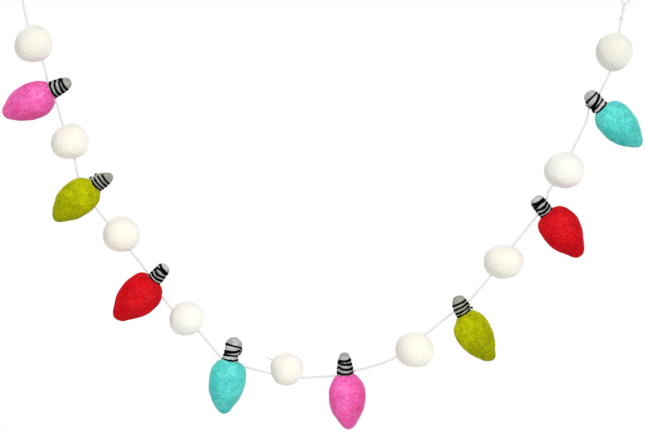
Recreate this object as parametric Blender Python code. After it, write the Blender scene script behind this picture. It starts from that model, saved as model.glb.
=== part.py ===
# Felt light-bulb garland: eight felted bulbs and nine felted balls, threaded in turn on one white
# string that hangs in a swag from a tied loop at each end. Each bulb is a coloured body with a grey
# base felted onto its neck, and black yarn wound round the base like a screw thread.
# The origin is where a hook bears in the left loop. X runs right, Z runs up, the front faces -Y.

import math
from collections import namedtuple

import bmesh
import bpy
import numpy as np
from mathutils import Vector

MM = 0.001  # the tables are in millimetres, everything else is in metres

# Driving dimensions
STRING_DIAMETER = 1.6 * MM
CHANNEL_DIAMETER = 2.3 * MM  # the hole that the needle leaves through each bead
GAP = 0.3 * MM  # between pieces that touch
TIE_DIAMETER = 1.0 * MM  # of the string's own turn that ties a loop, drawn tight
TIE_TURNS = 1.5
TIE_PITCH = 1.4 * MM
TIE_HALF_WIDTH = 1.2 * MM  # from the tie's middle to the middle of its turn, seen from the front
TIE_HALF_DEPTH = 1.95 * MM
FIRST_TURN = 1.1 * MM  # the seat of the base lies this far below the neck's first turn of yarn
BEND_LENGTH = 8.0 * MM  # a base bends away from its body's axis over this length
BODY_LUMP = 0.40 * MM
BASE_LUMP = 0.15 * MM
BALL_LUMP = 0.45 * MM
BULGE_SPREAD = 0.22  # a bulge fades to a third where 1 less the cosine of the angle is this
STRING_STEP = 22.0 * MM  # the longest straight bit of the string's tube

BALL_SEGMENTS, BALL_RINGS = 16, 10
BODY_SEGMENTS = 16
BASE_SEGMENTS = 12
YARN_STEPS = 12  # points in one turn of yarn

# Places are given as (across, down) from the origin.
# A tie is where a loop is tied, and lean is how far its loop tips to the right, in degrees.
Tie = namedtuple("Tie", "name middle lean")
TIES = [
    Tie("left", (6.4, 31.4), -11.5),
    Tie("right", (607.5, 59.3), 11.0),
]

# The string's way from its end up behind itself, round the loop and down again, from the tie's
# middle, with the number of tube steps to the next row.
Way = namedtuple("Way", "aside above behind steps")
LOOP = [
    Way(0.2, -2.0, 1.7, 1), Way(0.2, 6.0, 1.7, 1), Way(0.1, 13.0, 1.7, 1), Way(3.3, 17.6, 0.7, 1),
    Way(5.3, 23.0, 0.1, 2), Way(0, 32.8, 0, 2), Way(-5.3, 23.0, 0, 1), Way(-3.3, 17.6, 0, 1),
    Way(0, 13.0, 0, 1), Way(0, 1.0, 0, 1),
]

# The string's route between the two ties, (across, down).
ROUTE = [
    (8.7, 42.0), (13.6, 65.5), (28.9, 102.1), (33.8, 123.6), (39.0, 137.6), (42.8, 144.2),
    (48.4, 164.6), (60.5, 200.0), (63.6, 216.3), (81.9, 249.0), (94.9, 265.1), (117.3, 292.8),
    (125.5, 303.0), (134.0, 314.3), (146.6, 334.6), (158.7, 351.0), (184.5, 372.1), (207.1, 398.6),
    (223.8, 405.8), (256.5, 414.3), (288.2, 418.6), (322.7, 416.5), (339.7, 411.7), (352.1, 409.1),
    (370.2, 403.3), (383.0, 397.2), (414.0, 373.5), (440.6, 351.9), (454.8, 342.1), (478.1, 314.7),
    (497.7, 288.2), (524.3, 255.1), (532.7, 240.2), (534.3, 232.8), (539.2, 225.1), (558.6, 191.1),
    (571.7, 163.4), (575.4, 148.4), (585.2, 134.7), (596.2, 111.7), (605.1, 71.4),
]

# A ball's bulges are in front view: degrees from its right round by its top, and mm out, or in.
Ball = namedtuple("Ball", "middle width height bulges")
BALLS = [
    Ball((19.7, 83.7), 37.5, 36.7, [(150, -1.1), (228, 1.7), (322, 0.9)]),
    Ball((55.9, 182.0), 36.7, 35.4, [(125, -0.9), (218, 1.4), (322, 1.3)]),
    Ball((107.2, 274.5), 36.7, 36.0, [(60, -0.8), (148, -0.8), (222, 0.7), (330, 1.3)]),
    Ball((173.5, 359.0), 35.2, 34.0, [(70, -0.6), (228, 2.0), (338, -0.8)]),
    Ball((273.0, 410.0), 32.4, 32.4, [(45, -0.6), (240, 0.9)]),
    Ball((400.8, 390.2), 36.8, 35.5, [(110, -0.8), (172, -0.5), (225, 1.3), (325, 0.8)]),
    Ball((489.3, 301.8), 38.8, 33.3, [(100, -0.6), (225, 1.2), (318, 1.4)]),
    Ball((550.0, 210.5), 39.8, 35.7, [(120, -0.7), (228, 0.8), (308, 1.0)]),
    Ball((600.3, 92.8), 37.7, 38.8, [(5, -0.6), (265, 0.9), (312, -1.0)]),
]

# neck is the middle of the first turn of yarn, and aside how far the base sits to its right there.
# lean tips the base towards the front in degrees, bow is how far the body swells to its right, and
# knob is the radius of the base beyond the yarn.
Bulb = namedtuple("Bulb", "felt form tip neck end aside lean bow girth knob yarn")
BULBS = [
    Bulb("pink", "slim", (-12.4, 155.2), (39.2, 130.8), (57.7, 122.1), -0.1, 12, 0.8, 18.6, 5.9, 2.0),
    Bulb("lime", "slim", (39.7, 261.0), (81.8, 226.0), (98.9, 216.4), -0.4, 5, -1.4, 18.1, 6.1, 1.7),
    Bulb("red", "full", (100.9, 359.7), (140.5, 320.3), (152.6, 306.6), -0.2, 8, 0.7, 19.6, 6.3, 2.0),
    Bulb("turquoise", "broad", (209.7, 454.9), (216.0, 400.7), (222.4, 378.2), 0, 3, -0.6, 18.4, 8.2,
         1.9),
    Bulb("pink", "slim", (334.8, 470.7), (331.5, 414.0), (330.1, 393.3), -0.3, 11, 0.3, 18.4, 6.2, 2.0),
    Bulb("lime", "slim", (478.8, 401.7), (450.0, 354.4), (443.4, 336.9), -0.2, 2, -1.7, 18.1, 6.7, 1.8),
    Bulb("red", "full", (567.0, 296.8), (532.6, 253.4), (520.3, 238.6), -0.4, 5, 0.7, 19.6, 7.1, 2.0),
    Bulb("turquoise", "broad", (627.2, 186.4), (587.3, 149.1), (572.7, 133.3), 0, 3, -0.1, 18.4, 6.9, 1.9),
]

# A body's rings from tip to neck: share of its length, share of its girth.
Ring = namedtuple("Ring", "along out")
BODY_FORMS = {
    "slim": [
        Ring(0, 0), Ring(0.013, 0.155), Ring(0.06, 0.315), Ring(0.13, 0.47), Ring(0.22, 0.65),
        Ring(0.33, 0.825), Ring(0.46, 0.95), Ring(0.60, 1.0), Ring(0.71, 1.0), Ring(0.81, 0.935),
        Ring(0.895, 0.79), Ring(0.955, 0.61), Ring(0.998, 0.355), Ring(0.996, 0),
    ],
    "broad": [
        Ring(0, 0), Ring(0.013, 0.155), Ring(0.06, 0.315), Ring(0.13, 0.47), Ring(0.22, 0.65),
        Ring(0.33, 0.825), Ring(0.46, 0.95), Ring(0.60, 1.0), Ring(0.71, 1.0), Ring(0.815, 0.965),
        Ring(0.90, 0.85), Ring(0.958, 0.68), Ring(0.998, 0.36), Ring(0.996, 0),
    ],
    "full": [
        Ring(0, 0), Ring(0.013, 0.16), Ring(0.06, 0.315), Ring(0.13, 0.455), Ring(0.22, 0.625),
        Ring(0.33, 0.81), Ring(0.45, 0.945), Ring(0.60, 1.0), Ring(0.72, 1.0), Ring(0.82, 0.965),
        Ring(0.905, 0.86), Ring(0.96, 0.68), Ring(0.998, 0.335), Ring(0.996, 0),
    ],
}

# A base's rings from seat to end: share of its length, and its radius as shares of the waist's and
# of the knob's.
WAIST = 5.6 * MM
Step = namedtuple("Step", "along waist knob")
BASE_FORM = [
    Step(0.008, 0, 0), Step(0.008, 1.03, 0), Step(0.07, 1.03, 0), Step(0.32, 0.9, 0.09),
    Step(0.56, 0.5, 0.4), Step(0.70, 0.2, 0.77), Step(0.77, 0, 1), Step(0.87, 0, 0.86),
    Step(0.95, 0, 0.55), Step(1.0, 0, 0),
]

# One row for each turn of yarn: its height above the seat at the bulb's left, front and right.
Turn = namedtuple("Turn", "left front right")
TURNS = [
    [Turn(1.2, 1.2, 1.8), Turn(6.3, 5.3, 5.4), Turn(10.7, 10.5, 9.3), Turn(13.3, 13.8, 14.4)],
    [Turn(1.2, 1.2, 1.7), Turn(4.9, 4.5, 5.7), Turn(7.2, 8.5, 9.3), Turn(10.9, 12.5, 13.1)],
    [Turn(2.8, 1.3, 1.3), Turn(4.8, 4.7, 4.8), Turn(8.1, 7.8, 8.6), Turn(11.5, 12.3, 12.2),
     Turn(16.1, 14.7, 14.5)],
    [Turn(3.2, 1.5, 1.4), Turn(5.8, 5.6, 6.7), Turn(8.0, 8.9, 12.3), Turn(15.5, 15.6, 15.2)],
    [Turn(1.2, 1.05, 0.75), Turn(7.1, 5.5, 5.7), Turn(10.7, 10.5, 10.1), Turn(13.5, 13.8, 14.8)],
    [Turn(1.2, 1.2, 1.6), Turn(2.9, 3.8, 5.2), Turn(5.1, 7.6, 8.9), Turn(10.9, 11.8, 13.9)],
    [Turn(1.0, 1.2, 1.4), Turn(3.1, 4.0, 6.1), Turn(7.9, 8.3, 8.8), Turn(11.8, 13.0, 13.7),
     Turn(15.1, 15.3, 16.0)],
    [Turn(1.2, 1.2, 1.4), Turn(4.5, 6.1, 6.5), Turn(6.9, 9.8, 10.8), Turn(15.2, 15.8, 15.6)],
]

# Knotted ends of yarn that hang loose: bulb, angle from the bulb's right towards its front, and the
# end's rows of height above the seat and distance from the base's middle.
Loose = namedtuple("Loose", "bulb angle rows")
LOOSE_ENDS = [
    Loose(4, 8, [(15.6, 7.9), (14.7, 9.4), (12.7, 10.2), (10.7, 10.0), (8.9, 9.2)]),
    Loose(6, 10, [(7.7, 7.4), (6.9, 9.0), (4.9, 9.2), (2.7, 8.6), (1.3, 9.2), (0.9, 9.8)]),
    Loose(8, 160, [(14.9, 11.0), (11.3, 10.0), (7.9, 8.4), (5.9, 8.2), (3.5, 9.4)]),
]

COLOURS = {  # linear colour and roughness
    "white": ((0.86, 0.85, 0.78), 0.95),
    "pink": ((0.78, 0.13, 0.42), 0.95),
    "lime": ((0.40, 0.42, 0.01), 0.95),
    "red": ((0.62, 0.012, 0.022), 0.95),
    "turquoise": ((0.11, 0.60, 0.56), 0.95),
    "grey": ((0.50, 0.50, 0.48), 0.95),
    "black": ((0.012, 0.012, 0.012), 0.9),
    "string": ((0.78, 0.78, 0.78), 0.8),
}


def place(across, down):
    """A place in the garland's plane, from millimetres across and down."""
    return Vector((across, 0, -down)) * MM


def clear_scene():
    for old in list(bpy.data.objects):
        bpy.data.objects.remove(old)


def new_collection(name):
    made = bpy.data.collections.new(name)
    bpy.context.scene.collection.children.link(made)
    return made


def material(name):
    """The Principled material of one felt, yarn or string."""
    if name in bpy.data.materials:
        return bpy.data.materials[name]
    colour, roughness = COLOURS[name]
    made = bpy.data.materials.new(name)
    made.use_nodes = True
    shader = made.node_tree.nodes["Principled BSDF"]
    shader.inputs["Base Color"].default_value = (*colour, 1)
    shader.inputs["Roughness"].default_value = roughness
    shader.inputs["Metallic"].default_value = 0
    return made


def through(rows, steps):
    """A smooth curve through the rows, as an array, with the given number of steps for each gap."""
    rows = [np.array(r, float) for r in rows]
    ends = [2 * rows[0] - rows[1], *rows, 2 * rows[-1] - rows[-2]]
    made = []
    for k, count in enumerate(steps):
        a, b, c, d = ends[k:k + 4]
        for t in np.arange(count) / count:
            made.append(0.5 * (2 * b + (c - a) * t + (2 * a - 5 * b + 4 * c - d) * t ** 2
                               + (3 * b - a - 3 * c + d) * t ** 3))
    return np.array([*made, rows[-1]])


def lumps(seed):
    """A smooth uneven field over directions, from -1 to 1, of a few seeded waves."""
    rng = np.random.default_rng(seed)
    waves = rng.normal(size=(6, 3)) * 2.2
    phases = rng.uniform(0, 2 * math.pi, 6)
    return lambda direction: float(np.cos(waves @ np.array(direction) + phases).sum() / 3.5)


def reshaped_sphere(name, segments, rings, shape, origin, felt, collection):
    """A UV sphere whose points are moved by shape, which takes a unit vector and gives a place."""
    mesh = bpy.data.meshes.new(name)
    work = bmesh.new()
    bmesh.ops.create_uvsphere(work, u_segments=segments, v_segments=rings, radius=1)
    for vertex in work.verts:
        vertex.co = shape(vertex.co.normalized()) - origin
    bmesh.ops.recalc_face_normals(work, faces=work.faces)
    work.to_mesh(mesh)
    work.free()
    mesh.shade_smooth()
    mesh.materials.append(material(felt))
    made = bpy.data.objects.new(name, mesh)
    made.location = origin
    collection.objects.link(made)
    return made


def tube(name, points, diameter, resolution, felt, collection):
    """A round tube along the points, as a curve with filled caps."""
    curve = bpy.data.curves.new(name, "CURVE")
    curve.dimensions = "3D"
    curve.bevel_depth = diameter / 2
    curve.bevel_resolution = resolution
    curve.use_fill_caps = True
    line = curve.splines.new("POLY")
    line.points.add(len(points) - 1)
    for row, point in zip(line.points, points, strict=True):
        row.co = (*point, 1)
    line.use_smooth = True
    curve.materials.append(material(felt))
    made = bpy.data.objects.new(name, curve)
    collection.objects.link(made)
    return made


def as_mesh(curve_object, collection):
    """The same tube as a closed mesh, its caps welded on."""
    name = curve_object.name
    evaluated = curve_object.evaluated_get(bpy.context.evaluated_depsgraph_get())
    mesh = bpy.data.meshes.new_from_object(evaluated)
    work = bmesh.new()
    work.from_mesh(mesh)
    bmesh.ops.remove_doubles(work, verts=work.verts, dist=0.01 * MM)
    bmesh.ops.recalc_face_normals(work, faces=work.faces)
    work.to_mesh(mesh)
    work.free()
    place_in_world = curve_object.matrix_world.copy()
    bpy.data.objects.remove(curve_object)
    mesh.name = name
    made = bpy.data.objects.new(name, mesh)
    made.matrix_world = place_in_world
    collection.objects.link(made)
    return made


def hide_cutter(cutter):
    cutter.hide_render = True
    cutter.display_type = "WIRE"


def boolean(target, other, operation):
    """Cuts the other object from the target, or joins it on."""
    change = target.modifiers.new(f"{operation.lower()} {other.name}", "BOOLEAN")
    change.operation = operation
    change.solver = "EXACT"
    change.object = other


def tie_frame(tie):
    """A tie's middle, the direction of its loop, and the directions to that one's right and back."""
    turn = math.radians(tie.lean)
    up, right = Vector((math.sin(turn), 0, math.cos(turn))), Vector((math.cos(turn), 0, -math.sin(turn)))
    return place(*tie.middle), up, right, up.cross(right)


def loop_points(tie):
    """From the string's end up behind itself, round the hanging loop, and down through the tie."""
    middle, up, right, back = tie_frame(tie)
    rows = through([row[:3] for row in LOOP], [row.steps for row in LOOP[:-1]]) * MM
    return [middle + right * aside + up * above + back * behind for aside, above, behind in rows]


def tie_points(tie):
    """The tie's turn round both strands, drawn tight."""
    middle, up, right, back = tie_frame(tie)
    middle = middle + back * TIE_HALF_DEPTH * 0.42
    made = []
    for t in np.linspace(-0.5, 0.5, int(TIE_TURNS * 12)):
        turn = 2 * math.pi * TIE_TURNS * t
        made.append(middle + up * TIE_PITCH * TIE_TURNS * t + right * TIE_HALF_WIDTH * math.sin(turn)
                    - back * TIE_HALF_DEPTH * math.cos(turn))
    return made


def route_points():
    """The string's line between the ties: smooth, and through every point of the route."""
    rows = [place(*row) for row in ROUTE]
    lengths = [(b - a).length for a, b in zip(rows, rows[1:])]
    return [Vector(p) for p in through(rows, [math.ceil(n / STRING_STEP) for n in lengths])]


def build_string(garland, cutters):
    """One string, with a tied loop at each end, and the wider tube that cuts its channels."""
    route = route_points()
    left, right = (loop_points(tie) for tie in TIES)
    whole = as_mesh(tube("string", [*left, *route, *right[::-1]], STRING_DIAMETER, 2, "string", garland),
                    garland)
    for tie in TIES:
        turn = tube(f"tie_{tie.name}", tie_points(tie), TIE_DIAMETER, 1, "string", cutters)
        turn = as_mesh(turn, cutters)
        hide_cutter(turn)
        boolean(whole, turn, "UNION")
    channel = as_mesh(tube("channel", route, CHANNEL_DIAMETER, 2, "string", cutters), cutters)
    hide_cutter(channel)
    return channel


def build_ball(number, ball, channel, garland):
    middle = place(*ball.middle)
    uneven = lumps(100 + number)
    half = Vector((ball.width, (ball.width + ball.height) / 2, ball.height)) * MM / 2

    def shape(unit):
        lump = BALL_LUMP * uneven(unit)
        for angle, rise in ball.bulges:
            toward = Vector((math.cos(math.radians(angle)), 0, math.sin(math.radians(angle))))
            lump += rise * MM * math.exp((unit.dot(toward) - 1) / BULGE_SPREAD)
        return middle + Vector(np.array(unit) * (np.array(half) + lump))

    made = reshaped_sphere(f"ball_{number}", BALL_SEGMENTS, BALL_RINGS, shape, middle, "white", garland)
    boolean(made, channel, "DIFFERENCE")


class BulbLayout:
    """Where one bulb's axis runs: straight in the body, and bending over the seat into the base."""

    def __init__(self, bulb):
        tip, neck, end = place(*bulb.tip), place(*bulb.neck), place(*bulb.end)
        flat = (neck - tip).normalized()
        lean = math.radians(bulb.lean)
        self.axis = flat * math.cos(lean) - Vector((0, 1, 0)) * math.sin(lean)
        self.right = Vector((flat.z, 0, -flat.x))
        self.back = self.axis.cross(self.right)
        self.seat = neck - self.axis * FIRST_TURN
        self.aside = bulb.aside * MM
        self.body_length = (neck - tip).length / math.cos(lean) - FIRST_TURN
        self.base_length = (end - self.seat).dot(flat)
        reach = (end - self.seat).dot(self.right) - self.aside
        self.bend = reach / (self.base_length - BEND_LENGTH / 2)

    def at(self, height, angle, out):
        """The place at a height above the seat, an angle from the right towards the back, and out."""
        share = min(max(height / BEND_LENGTH, 0), 1)
        turn = self.bend * share
        aside = turn * (height / 2 if share < 1 else height - BEND_LENGTH / 2)
        aside += self.aside if height > 0 else 0
        right = self.right * math.cos(turn) - self.axis * math.sin(turn)
        return (self.seat + self.axis * height + self.right * aside
                + (right * math.cos(angle) + self.back * math.sin(angle)) * out)


def ring_of(unit, rings):
    return rings[round(math.acos(max(-1, min(1, unit.z))) / math.pi * (len(rings) - 1))]


def build_body(number, bulb, layout, channel, garland):
    """The coloured bulb: rings from tip to neck, bowed to one side, a little uneven."""
    rings = BODY_FORMS[bulb.form]
    uneven = lumps(200 + number)

    def shape(unit):
        ring = ring_of(unit, rings)
        angle = math.atan2(unit.y, unit.x)
        height = layout.body_length * (ring.along - 1) - GAP / 2
        fade = min(1, 3 * ring.out, 4 - 4 * ring.along)
        out = bulb.girth * MM * ring.out + BODY_LUMP * uneven(unit) * fade
        bow = bulb.bow * MM * (1 - (2 * ring.along - 1) ** 4)
        return layout.at(height, angle, out if ring.out else 0) + layout.right * bow

    made = reshaped_sphere(f"bulb_{number}_body", BODY_SEGMENTS, len(rings) - 1, shape, layout.seat,
                           bulb.felt, garland)
    boolean(made, channel, "DIFFERENCE")


def base_radius(bulb, share):
    """The base's radius at a share of its length: its waist, widening to the knob beyond the yarn."""
    rings = BASE_FORM[1:]
    radii = [WAIST * ring.waist + bulb.knob * MM * ring.knob for ring in rings]
    return float(np.interp(share, [ring.along for ring in rings], radii))


def build_base(number, bulb, layout, channel, garland):
    """The grey base: a drawn-in stub that ends in a rounded knob."""
    uneven = lumps(300 + number)

    def shape(unit):
        ring = ring_of(unit, BASE_FORM)
        height = layout.base_length * ring.along + GAP / 2
        out = WAIST * ring.waist + bulb.knob * MM * ring.knob
        return layout.at(height, math.atan2(unit.y, unit.x),
                         out + BASE_LUMP * uneven(unit) * ring.along if out else 0)

    made = reshaped_sphere(f"bulb_{number}_base", BASE_SEGMENTS, len(BASE_FORM) - 1, shape, layout.seat,
                           "grey", garland)
    boolean(made, channel, "DIFFERENCE")


def winding_points(number, bulb, layout):
    """The yarn's line: up through the turns, left to right in front and back behind."""
    heights = []
    for turn, following in zip(TURNS[number - 1], [*TURNS[number - 1][1:], None]):
        behind = (turn.right + following.left) / 2 if following else turn.right + 0.3
        heights += [turn.left, turn.front, turn.right, behind]
    quarter = YARN_STEPS / 4
    keys = through([(h,) for h in heights], [20] * (len(heights) - 1))[:, 0]
    made = []
    for step in range(int(quarter * (len(heights) - 1)) + 1):
        height = keys[min(round(step / quarter * 20), len(keys) - 1)] * MM
        near = [base_radius(bulb, (height + k * MM) / layout.base_length) for k in (-1, 0, 1)]
        out = (max(near) + GAP + BASE_LUMP + bulb.yarn * MM / 2) / math.cos(math.pi / YARN_STEPS)
        made.append(layout.at(height, 2 * math.pi * step / YARN_STEPS - math.pi, out))
    return made


def build_winding(number, bulb, layout, garland, cutters):
    """The black yarn wound round the base, with the knotted end that some bulbs show."""
    name = f"bulb_{number}_winding"
    made = tube(name, winding_points(number, bulb, layout), bulb.yarn * MM, 1, "black", garland)
    ends = [loose for loose in LOOSE_ENDS if loose.bulb == number]
    if ends:
        made = as_mesh(made, garland)
    for loose in ends:
        rows = through(loose.rows, [2] * (len(loose.rows) - 1)) * MM
        angle = -math.radians(loose.angle)
        points = [layout.at(height, angle, out) for height, out in rows]
        end = as_mesh(tube(f"yarn_end_{number}", points, bulb.yarn * MM, 1, "black", cutters), cutters)
        hide_cutter(end)
        boolean(made, end, "UNION")


def main():
    clear_scene()
    garland = new_collection("felt_lightbulb_garland")
    cutters = new_collection("cutters")
    channel = build_string(garland, cutters)
    for number, ball in enumerate(BALLS, 1):
        build_ball(number, ball, channel, garland)
    for number, bulb in enumerate(BULBS, 1):
        layout = BulbLayout(bulb)
        build_body(number, bulb, layout, channel, garland)
        build_base(number, bulb, layout, channel, garland)
        build_winding(number, bulb, layout, garland, cutters)


main()
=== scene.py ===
# Felt light-bulb garland, dressed: nine white felt balls and eight felted bulbs on a white string.
# Each solid is replaced by a fine surface: felt with lumps, creases and loose fibres, or the twisted
# plies of string and yarn.

from math import cos, pi, radians, sin, sqrt

import bpy
import numpy as np
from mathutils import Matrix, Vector


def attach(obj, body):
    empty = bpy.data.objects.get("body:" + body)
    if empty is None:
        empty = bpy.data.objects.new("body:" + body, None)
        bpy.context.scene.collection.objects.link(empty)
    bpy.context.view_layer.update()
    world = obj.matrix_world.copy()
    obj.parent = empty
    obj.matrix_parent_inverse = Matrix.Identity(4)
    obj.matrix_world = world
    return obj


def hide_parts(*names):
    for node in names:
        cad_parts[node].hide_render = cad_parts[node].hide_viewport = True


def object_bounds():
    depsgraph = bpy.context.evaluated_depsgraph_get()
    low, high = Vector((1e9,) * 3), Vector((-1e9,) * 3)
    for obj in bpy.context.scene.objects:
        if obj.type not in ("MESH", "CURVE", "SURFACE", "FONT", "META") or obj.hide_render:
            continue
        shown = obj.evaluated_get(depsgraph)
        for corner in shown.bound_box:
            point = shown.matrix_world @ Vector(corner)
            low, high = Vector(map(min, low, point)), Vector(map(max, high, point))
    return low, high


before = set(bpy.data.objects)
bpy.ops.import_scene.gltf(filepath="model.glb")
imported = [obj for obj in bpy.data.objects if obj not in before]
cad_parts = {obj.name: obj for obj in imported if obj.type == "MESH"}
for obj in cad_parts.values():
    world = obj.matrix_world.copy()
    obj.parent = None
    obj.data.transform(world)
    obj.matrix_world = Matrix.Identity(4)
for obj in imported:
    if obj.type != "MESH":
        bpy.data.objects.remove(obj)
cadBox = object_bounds()
mm = 0.001  # the sizes below are in millimetres
print("frame loaded")


# Places are (across, down) from the left loop's bearing point, in the garland's own plane.
def place(across, down):
    return np.array((across, 0, -down)) * mm


def unit(vectors):
    return vectors / np.linalg.norm(vectors, axis=-1, keepdims=True)


def newObject(name, data):
    made = bpy.data.objects.new(name, data)
    bpy.context.scene.collection.objects.link(made)
    return made


# Camera

camera = {"middle": (308.5, 256.5), "distance": 2400, "width": 645}  # so wide a view at that distance


def makeCamera(sizes):
    data = bpy.data.cameras.new("camera")
    data.lens = data.sensor_width * sizes["distance"] / sizes["width"]
    seen = newObject("camera", data)
    seen.location = Vector(place(*sizes["middle"])) - Vector((0, sizes["distance"] * mm, 0))
    seen.rotation_euler = (pi / 2, 0, 0)
    bpy.context.scene.camera = seen


makeCamera(camera)


# Curves and surfaces

# So many points on a smooth curve through rows of numbers. Between two rows it is a cubic, whose
# slope at a row is the step from the row before to the row after, times ease / 2.
def smoothThrough(rows, count, ease=1.0):
    rows = np.asarray(rows, float)
    t = np.linspace(0, len(rows) - 1, count)
    padded = np.vstack([2 * rows[0] - rows[1], rows, 2 * rows[-1] - rows[-2]])
    slopes = (padded[2:] - padded[:-2]) / 2 * np.broadcast_to(ease, len(rows))[:, None]
    k = np.clip(np.floor(t).astype(int), 0, len(rows) - 2)
    f = (t - k)[:, None]
    return (rows[k] * (1 + 2 * f) * (1 - f) ** 2 + slopes[k] * f * (1 - f) ** 2
            + rows[k + 1] * (3 - 2 * f) * f ** 2 - slopes[k + 1] * (1 - f) * f ** 2)


# So many even angles round one turn.
def anglesRound(count):
    return np.linspace(0, 2 * pi, count, endpoint=False)


# The length of a line up to each of its points.
def lengthAlong(line):
    return np.concatenate([[0], np.cumsum(np.linalg.norm(np.diff(line, axis=0), axis=1))])


# The same curve at even steps, and the length up to each, read off so many fine points for each row.
def evenLine(rows, step, ease=1.0, fine=60):
    curve = smoothThrough(rows, fine * len(rows), ease)
    reach = lengthAlong(curve)
    along = np.linspace(0, reach[-1], round(reach[-1] / step) + 1)
    return np.stack([np.interp(along, reach, curve[:, n]) for n in range(3)], axis=-1), along


# A smooth random field over space, mostly from -2 to 2: plane waves in seeded directions, added up.
def waves(points, wavelength, seed, count=40, shortest=0.75, longest=1.35):
    rng = np.random.default_rng(seed)
    lengths = wavelength * rng.uniform(shortest, longest, (count, 1))
    numbers = unit(rng.normal(size=(count, 3))) * 2 * pi / lengths
    phases = rng.uniform(0, 2 * pi, count)
    return np.cos(points @ numbers.T + phases).sum(-1) * sqrt(2 / count)


# The solids' own unevenness over directions, from -1 to 1: six seeded waves, as in the source.
def lumps(directions, seed, count=6, tightness=2.2, total=3.5):
    rng = np.random.default_rng(seed)
    numbers = rng.normal(size=(count, 3)) * tightness
    phases = rng.uniform(0, 2 * pi, count)
    return np.cos(directions @ numbers.T + phases).sum(-1) / total


# Outward directions on a grid of rows along and columns round: the step round crossed with the
# step along. A pole takes the mean of the row beside it.
def outward(grid):
    around = np.roll(grid, -1, axis=1) - np.roll(grid, 1, axis=1)
    normals = np.cross(around, np.gradient(grid, axis=0))
    normals[0] = normals[1].mean(0)
    normals[-1] = normals[-2].mean(0)
    return unit(normals)


# A closed mesh from such a grid, whose first and last rows are poles: quads, and a fan of triangles
# at each pole. Each point keeps for the finish how hollow it is, which the finish paints as shade, and the
# red, green and blue it loses to its tint and to painted light and shade.
def surfaceMesh(name, finish, grid, hollow, tintAndPaintedLight=0):
    rows, columns = grid.shape[:2]
    index = 1 + np.arange((rows - 2) * columns).reshape(rows - 2, columns)
    after = np.roll(index, -1, axis=1)
    quads = np.stack([index[:-1], after[:-1], after[1:], index[1:]], axis=-1).reshape(-1, 4)
    last = 1 + (rows - 2) * columns
    firstFan = np.stack([np.zeros(columns, int), after[0], index[0]], axis=-1)
    lastFan = np.stack([np.full(columns, last), index[-1], after[-1]], axis=-1)
    points = np.vstack([grid[:1, 0], grid[1:-1].reshape(-1, 3), grid[-1:, 0]])
    piece = finishedPiece(name, points, quads.tolist() + firstFan.tolist() + lastFan.tolist(), finish)
    lost = np.broadcast_to(tintAndPaintedLight, (rows, columns, 3))
    lost = np.concatenate([lost, np.zeros((rows, columns, 1))], axis=-1)
    for title, kind, field, values in (("hollow", "FLOAT", "value", hollow[..., None]),
                                       ("tintAndPaintedLight", "FLOAT_COLOR", "color", lost)):
        listed = np.vstack([values[:1, 0], values[1:-1].reshape(-1, values.shape[-1]), values[-1:, 0]])
        stored = piece.data.attributes.new(title, kind, "POINT")
        stored.data.foreach_set(field, listed.ravel().astype(np.float32))
    return piece


lit = {name: bpy.data.collections.new(name) for name in ("balls", "rest")}  # which lamps reach them


def finishedPiece(name, points, faces, finish):
    mesh = bpy.data.meshes.new(name)
    mesh.from_pydata(points, [], faces)
    mesh.shade_smooth()
    mesh.materials.append(finish.material)
    piece = newObject(name, mesh)
    lit["balls" if finish.slot == "white" else "rest"].objects.link(piece)
    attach(piece, "root")
    return piece


# A twisted strand along a line. Its section is a circle, pinched between its plies by a share of its
# radius, that turns once in each pitch. It is wider along reference, any direction across the line.
def strandGrid(line, along, reference, radius, sizes, wider=1.0):
    columns = sizes["columns"]
    forward = unit(np.gradient(line, axis=0))
    side = unit(np.cross(forward, reference))
    across = np.cross(forward, side) * np.broadcast_to(wider, along.shape)[:, None]
    angle = anglesRound(columns)
    lay = sizes["plies"] / 2 * (angle[None] - 2 * pi * along[:, None] / (sizes["pitch"] * mm))
    pinch = 1 - np.abs(np.cos(lay))
    out = np.broadcast_to(radius, along.shape)[:, None] * (1 - sizes["pinch"] * pinch)
    ring = (side[:, None] * np.cos(angle)[None, :, None] + across[:, None] * np.sin(angle)[None, :, None])
    grid = line[:, None] + ring * out[..., None]
    ends = np.broadcast_to(line[[0, -1]][:, None], (2, columns, 3))
    hollow = np.vstack([pinch[:1], pinch, pinch[-1:]])
    return np.concatenate([ends[:1], grid, ends[1:]]), hollow


# Finishes

# One socket of a finish. Sums of these and of numbers become Math nodes.
class Wire:
    def __init__(self, finish, socket):
        self.finish = finish
        self.socket = socket

    def math(self, operation, first, second):
        return self.finish.node("ShaderNodeMath", {"operation": operation}, {0: first, 1: second})

    def __add__(self, other):
        return self.math("ADD", self, other)

    def __sub__(self, other):
        return self.math("SUBTRACT", self, other)

    def __rsub__(self, other):
        return self.math("SUBTRACT", other, self)

    def __mul__(self, other):
        return self.math("MULTIPLY", self, other)

    __radd__ = __add__
    __rmul__ = __mul__


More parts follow.
